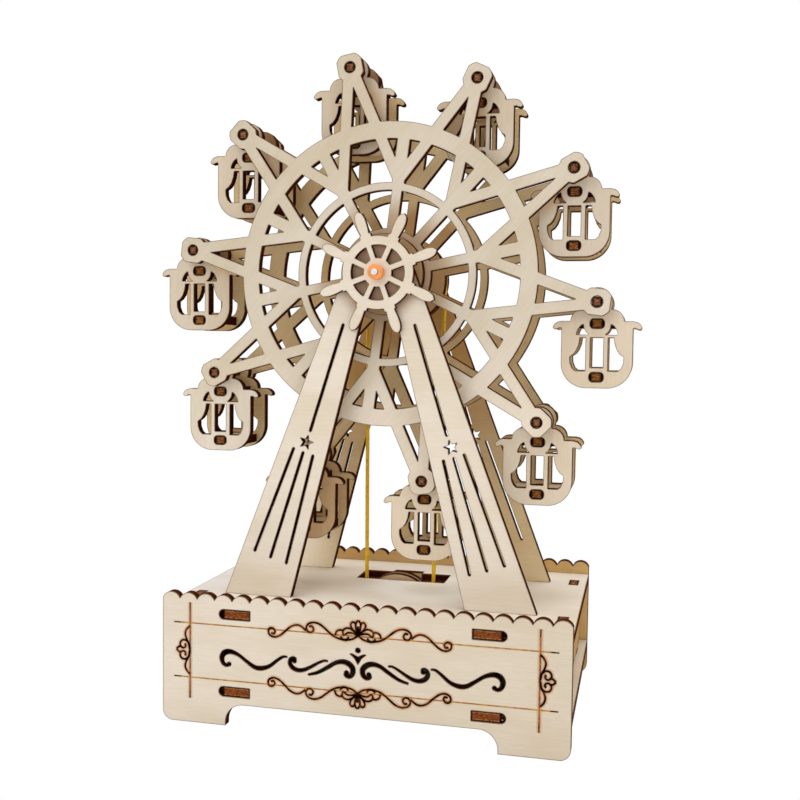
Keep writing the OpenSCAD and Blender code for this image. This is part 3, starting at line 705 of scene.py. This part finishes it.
# The ornament on the front panel, in millimetres from the panel's middle and from the floor
RULE_HIGH, RULE_LOW = 32.6, 14.8
MIDDLE_Z = (RULE_HIGH + RULE_LOW) / 2
RULE_END = 62.0
POST_X, POST_TOP, POST_FOOT = 56.4, 39.3, 7.9
END_RUN = 2.4
WAVE = [
    [(0, 32.9), (1.7, 31.7), (4.3, 31.2), (7.2, 31.8), (9.2, 33.0), (11.8, 35.1), (14.0, 35.9),
     (16.0, 35.5), (16.9, 34.2), (16.3, 32.9), (15.1, 32.8), (14.5, 33.7), (15.1, 34.7),
     (16.0, 34.4)],
    [(17.0, 33.1), (18.5, 34.3), (20.1, 34.7), (22.1, 34.0), (24.0, 32.3), (25.9, 30.8),
     (27.8, 30.3), (29.3, 31.1), (29.4, 32.6), (28.3, 33.1), (27.3, 32.3), (27.7, 31.3),
     (28.6, 31.6)],
]
LOTUS = [
    [(0, 32.9), (0.5, 34.3), (0.8, 35.6), (0.7, 36.8), (0, 37.7)],
    [(0, 33.0), (0.2, 34.4), (0, 35.8)],
    [(0, 32.9), (1.2, 34.0), (2.1, 35.2), (2.4, 36.2), (2.0, 36.9), (1.4, 37.0), (0.8, 36.4)],
    [(0, 32.9), (1.2, 34.1), (2.6, 34.9), (3.9, 34.9), (4.8, 34.2), (4.9, 33.2), (4.4, 32.4)],
    [(0, 32.9), (1.9, 33.5), (3.3, 33.5), (4.3, 32.7)],
    [(4.9, 34.1), (6.0, 34.2), (7.0, 33.6), (7.4, 32.4)],
    [(3.0, 32.3), (3.5, 31.5), (4.4, 31.2), (5.3, 31.7), (5.6, 32.3)],
]
POST_CURL = [
    [(56.4, 31.6), (57.5, 30.6), (58.1, 29.0), (57.6, 27.2), (56.8, 25.6), (56.4, 23.7)],
    [(56.6, 24.0), (56.9, 25.8), (58.0, 26.8), (59.3, 26.6), (59.9, 25.4), (59.2, 24.3),
     (58.2, 24.4), (57.9, 25.2), (58.4, 25.6)],
    [(59.6, 24.6), (60.3, 24.5), (61.2, 23.7)],
]


def mirrored(lines):
    """The lines and their mirror images about the panel's middle and about the ornament's."""
    found = list(lines)
    found += [[(-a, b) for a, b in line] for line in found]
    return found + [[(a, 2 * MIDDLE_Z - b) for a, b in line] for line in found]


# The scorched rims of the sheets' faces
RIM_W = 0.2 * MM
RIM_LIFT = 0.012 * MM
RIM_ALPHA = 0.5
FLAT, UPRIGHT = 0.9, 0.5
WELD = MM / 1000


def rim_quads(piece):
    """Quads along the inside of the outlines on both faces of a flat sheet."""
    mesh = bmesh.new()
    mesh.from_mesh(piece.data)
    mesh.transform(piece.matrix_world)
    bmesh.ops.remove_doubles(mesh, verts=mesh.verts, dist=WELD)
    mesh.normal_update()
    spans = [max(v.co[k] for v in mesh.verts) - min(v.co[k] for v in mesh.verts) for k in range(3)]
    axis = spans.index(min(spans))
    quads = []
    for edge in mesh.edges:
        if len(edge.link_faces) != 2:
            continue
        for face, other in (edge.link_faces, reversed(edge.link_faces)):
            if abs(face.normal[axis]) < FLAT or abs(other.normal[axis]) > UPRIGHT:
                continue
            a, b = (v.co.copy() for v in edge.verts)
            inward = face.normal.cross(b - a).normalized()
            if inward.dot(face.calc_center_median() - a) < 0:
                a, b, inward = b, a, -inward
            lift = face.normal * RIM_LIFT
            quads.append((a + lift, b + lift, b + lift + inward * RIM_W, a + lift + inward * RIM_W))
    mesh.free()
    return quads


def burnt_rims():
    """One piece on each body, with the rims of all of the body's sheets."""
    scorch = Paint("burn_rims").finish(Base_Color=SCORCH, Roughness=0.8, Alpha=RIM_ALPHA,
                                       Specular_IOR_Level=0.0)
    for body, nodes in frame["record"]["behaviour"]["bodies"].items():
        verts, faces = [], []
        for node in nodes:
            if node not in sheets:
                continue
            for quad in rim_quads(frame["nodes"][node]):
                faces.append(tuple(range(len(verts), len(verts) + 4)))
                verts.extend(quad)
        if not faces:
            continue
        piece = new_piece(f"burnt_rims_{body}", verts, faces)
        piece.data.materials.append(scorch)
        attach(piece, body)


def front_ornament():
    """The halo round the lines, the rules, the posts, their darker ends, and the flourish."""
    flourish = [curve(line) for line in mirrored(WAVE + LOTUS + POST_CURL)]
    rules = [[Vector((-RULE_END, z)), Vector((RULE_END, z))] for z in (RULE_HIGH, RULE_LOW)]
    posts = [[Vector((x, POST_FOOT)), Vector((x, POST_TOP))] for x in (-POST_X, POST_X)]
    ends = []
    for z in (RULE_HIGH, RULE_LOW):
        for side in (-1, 1):
            ends.append([Vector((side * (RULE_END - END_RUN), z)), Vector((side * RULE_END, z))])
    for x in (-POST_X, POST_X):
        for z, way in ((POST_FOOT, 1), (POST_TOP, -1)):
            ends.append([Vector((x, z)), Vector((x, z + way * END_RUN))])
    dark = burn_material("burn_dark", shade("1A0803"), shade("642C0E"), 1.0, soft=0.25)
    light = burn_material("burn_light", shade("A87030"), shade("CC9A50"), 0.85)
    brown = burn_material("burn_brown", shade("744014"), shade("A46C34"), 0.95)
    black = burn_material("burn_ends", shade("260E05"), shade("4A200C"), 1.0)
    halo = burn_material("burn_halo", shade("C87A28"), shade("D89A4C"), 0.5, soft=1.0)
    burnt_lines("burnt_halo", flourish + posts, HALO_W, halo, BURN_LIFT)
    burnt_lines("burnt_rules", rules, RULE_W, light, 2 * BURN_LIFT)
    burnt_lines("burnt_posts", posts, POST_W, brown, 3 * BURN_LIFT)
    burnt_lines("burnt_ends", ends, POST_W, black, 4 * BURN_LIFT)
    burnt_lines("burnt_flourish", flourish, LINE_W, dark, 5 * BURN_LIFT)


# The ends of the boards' tabs, in millimetres where MM isn't named
TAB_LIFT = 0.02 * MM
PIVOT_W = 2.9
PANEL_TAB_X, PANEL_TAB_W = 35.9, 8.9
WALL_TAB_SHARE, WALL_TAB_W = 0.5916, 7.8
TAB_RECESS = 0.3 * MM
RIM_SOFT, CABIN_RIM_SOFT = 0.5, 1.0


def tab_material(name, core, pale, rim_soft):
    """The burnt end of a tab: plies that run along it, dark round the rim."""
    paint = Paint(name)
    spot = [paint.node("ShaderNodeAttribute", {"attribute_name": key}, out=2)
            for key in ("along", "up", "half_along", "half_up")]
    inside = (spot[2] - spot[0].size()).least(spot[3] - spot[1].size())
    streaks = paint.node("ShaderNodeCombineXYZ", sockets={0: spot[0] * 0.35, 1: spot[1] * 2.2})
    place = paint.place()
    shift = paint.node("ShaderNodeVectorMath", {"operation": "ADD"},
                       {0: streaks, 1: paint.stretched(place, (300, 300, 300))})
    fibres = paint.noise(shift, 1.6, 4.0, 0.6)
    skin = (spot[1].size() / spot[3]).ramp(0.55, 0.68)
    colour = paint.mix(fibres.ramp(0.4, 0.62), BURNT_BROWN, core)
    colour = paint.mix(skin * fibres.ramp(0.35, 0.6) * 0.7, colour, pale)
    colour = paint.mix(inside.ramp(0.1, rim_soft), TAB_RIM, colour)
    return paint.finish(Base_Color=colour, Roughness=0.75, Specular_IOR_Level=0.0)


def tab_ends(name, body, patches, materials):
    """Flat patches on tab ends. A patch is its middle and its two half sides, as vectors in
    metres, and the place of its material in the list."""
    verts, faces = [], []
    facts = {"along": [], "up": [], "half_along": [], "half_up": []}
    for middle, along, up, _ in patches:
        start = len(verts)
        for a, b in ((-1, -1), (1, -1), (1, 1), (-1, 1)):
            verts.append(middle + a * along + b * up)
            facts["along"].append(a * along.length / MM)
            facts["up"].append(b * up.length / MM)
            facts["half_along"].append(along.length / MM)
            facts["half_up"].append(up.length / MM)
        faces.append((start, start + 1, start + 2, start + 3))
    piece = new_piece(name, verts, faces)
    for key, values in facts.items():
        piece.data.attributes.new(key, "FLOAT", "POINT").data.foreach_set("value", values)
    for material in materials:
        piece.data.materials.append(material)
    piece.data.polygons.foreach_set("material_index", [kind for *_, kind in patches])
    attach(piece, body)


def all_tab_ends():
    """The tab ends in the panels, in the deck, and in the cabins' sides, and the pivots' ends."""
    material = tab_material("tab_end", TAB_CORE, TAB_PALE, RIM_SOFT)
    golden = tab_material("cabin_tab_end", TAB_GOLD, TAB_STRAW, CABIN_RIM_SOFT)
    sooty = tab_material("pivot_end", PIVOT_CORE, PIVOT_PALE, CABIN_RIM_SOFT)
    half_ply = PLY / 2
    across, up = Vector((1, 0, 0)), Vector((0, 0, 1))
    patches = []
    for board in ("deck", "floor_board"):
        low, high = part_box(board)
        for face_y, out in ((low.y, -1), (high.y, 1)):
            for side in (-1, 1):
                middle = Vector((side * (PANEL_TAB_X + PANEL_TAB_W / 2) * MM,
                                 face_y + out * TAB_LIFT, (low.z + high.z) / 2))
                patches.append((middle, out * -across * PANEL_TAB_W / 2 * MM, up * half_ply, 0))
    front, rear = panel_low.y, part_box("back_panel")[1].y
    for wall in ("left_end_wall", "right_end_wall"):
        low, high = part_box(wall)
        for side in (-1, 1):
            middle = Vector(((low.x + high.x) / 2,
                             (front + rear) / 2 + side * WALL_TAB_SHARE * (rear - front) / 2,
                             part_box("deck")[1].z + TAB_LIFT))
            patches.append((middle, Vector((0, WALL_TAB_W / 2 * MM, 0)), -across * half_ply, 1))
    tab_ends("tab_ends_base", "base", patches, [material, sooty])
    for body in frame["bodies"]:
        if not body.startswith("cabin_"):
            continue
        low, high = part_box(f"{body}_boards")
        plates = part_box(f"{body}_front_side")[0].y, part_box(f"{body}_rear_side")[1].y
        middle_x = (low.x + high.x) / 2
        seat_z = low.z + half_ply
        roof_z = seat_z + (SEAT_DROP - ROOF_DROP) * MM
        pivot_z = seat_z + SEAT_DROP * MM
        patches = []
        for face_y, plate_y, out in ((low.y, plates[0], -1), (high.y, plates[1], 1)):
            tab_y = plate_y - out * TAB_RECESS
            for z in (roof_z, seat_z):
                patches.append((Vector((middle_x, tab_y + out * TAB_LIFT, z)),
                                out * -across * CABIN_TAB_W / 2 * MM, up * half_ply, 0))
            patches.append((Vector((middle_x, face_y + out * TAB_LIFT, pivot_z)),
                            out * -across * PIVOT_W / 2 * MM, up * PIVOT_W / 2 * MM, 1))
        tab_ends(f"tab_ends_{body}", body, patches, [golden, sooty])


camera()
studio()
drive_belt()
all_tab_ends()
burnt_rims()
front_ornament()

low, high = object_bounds()
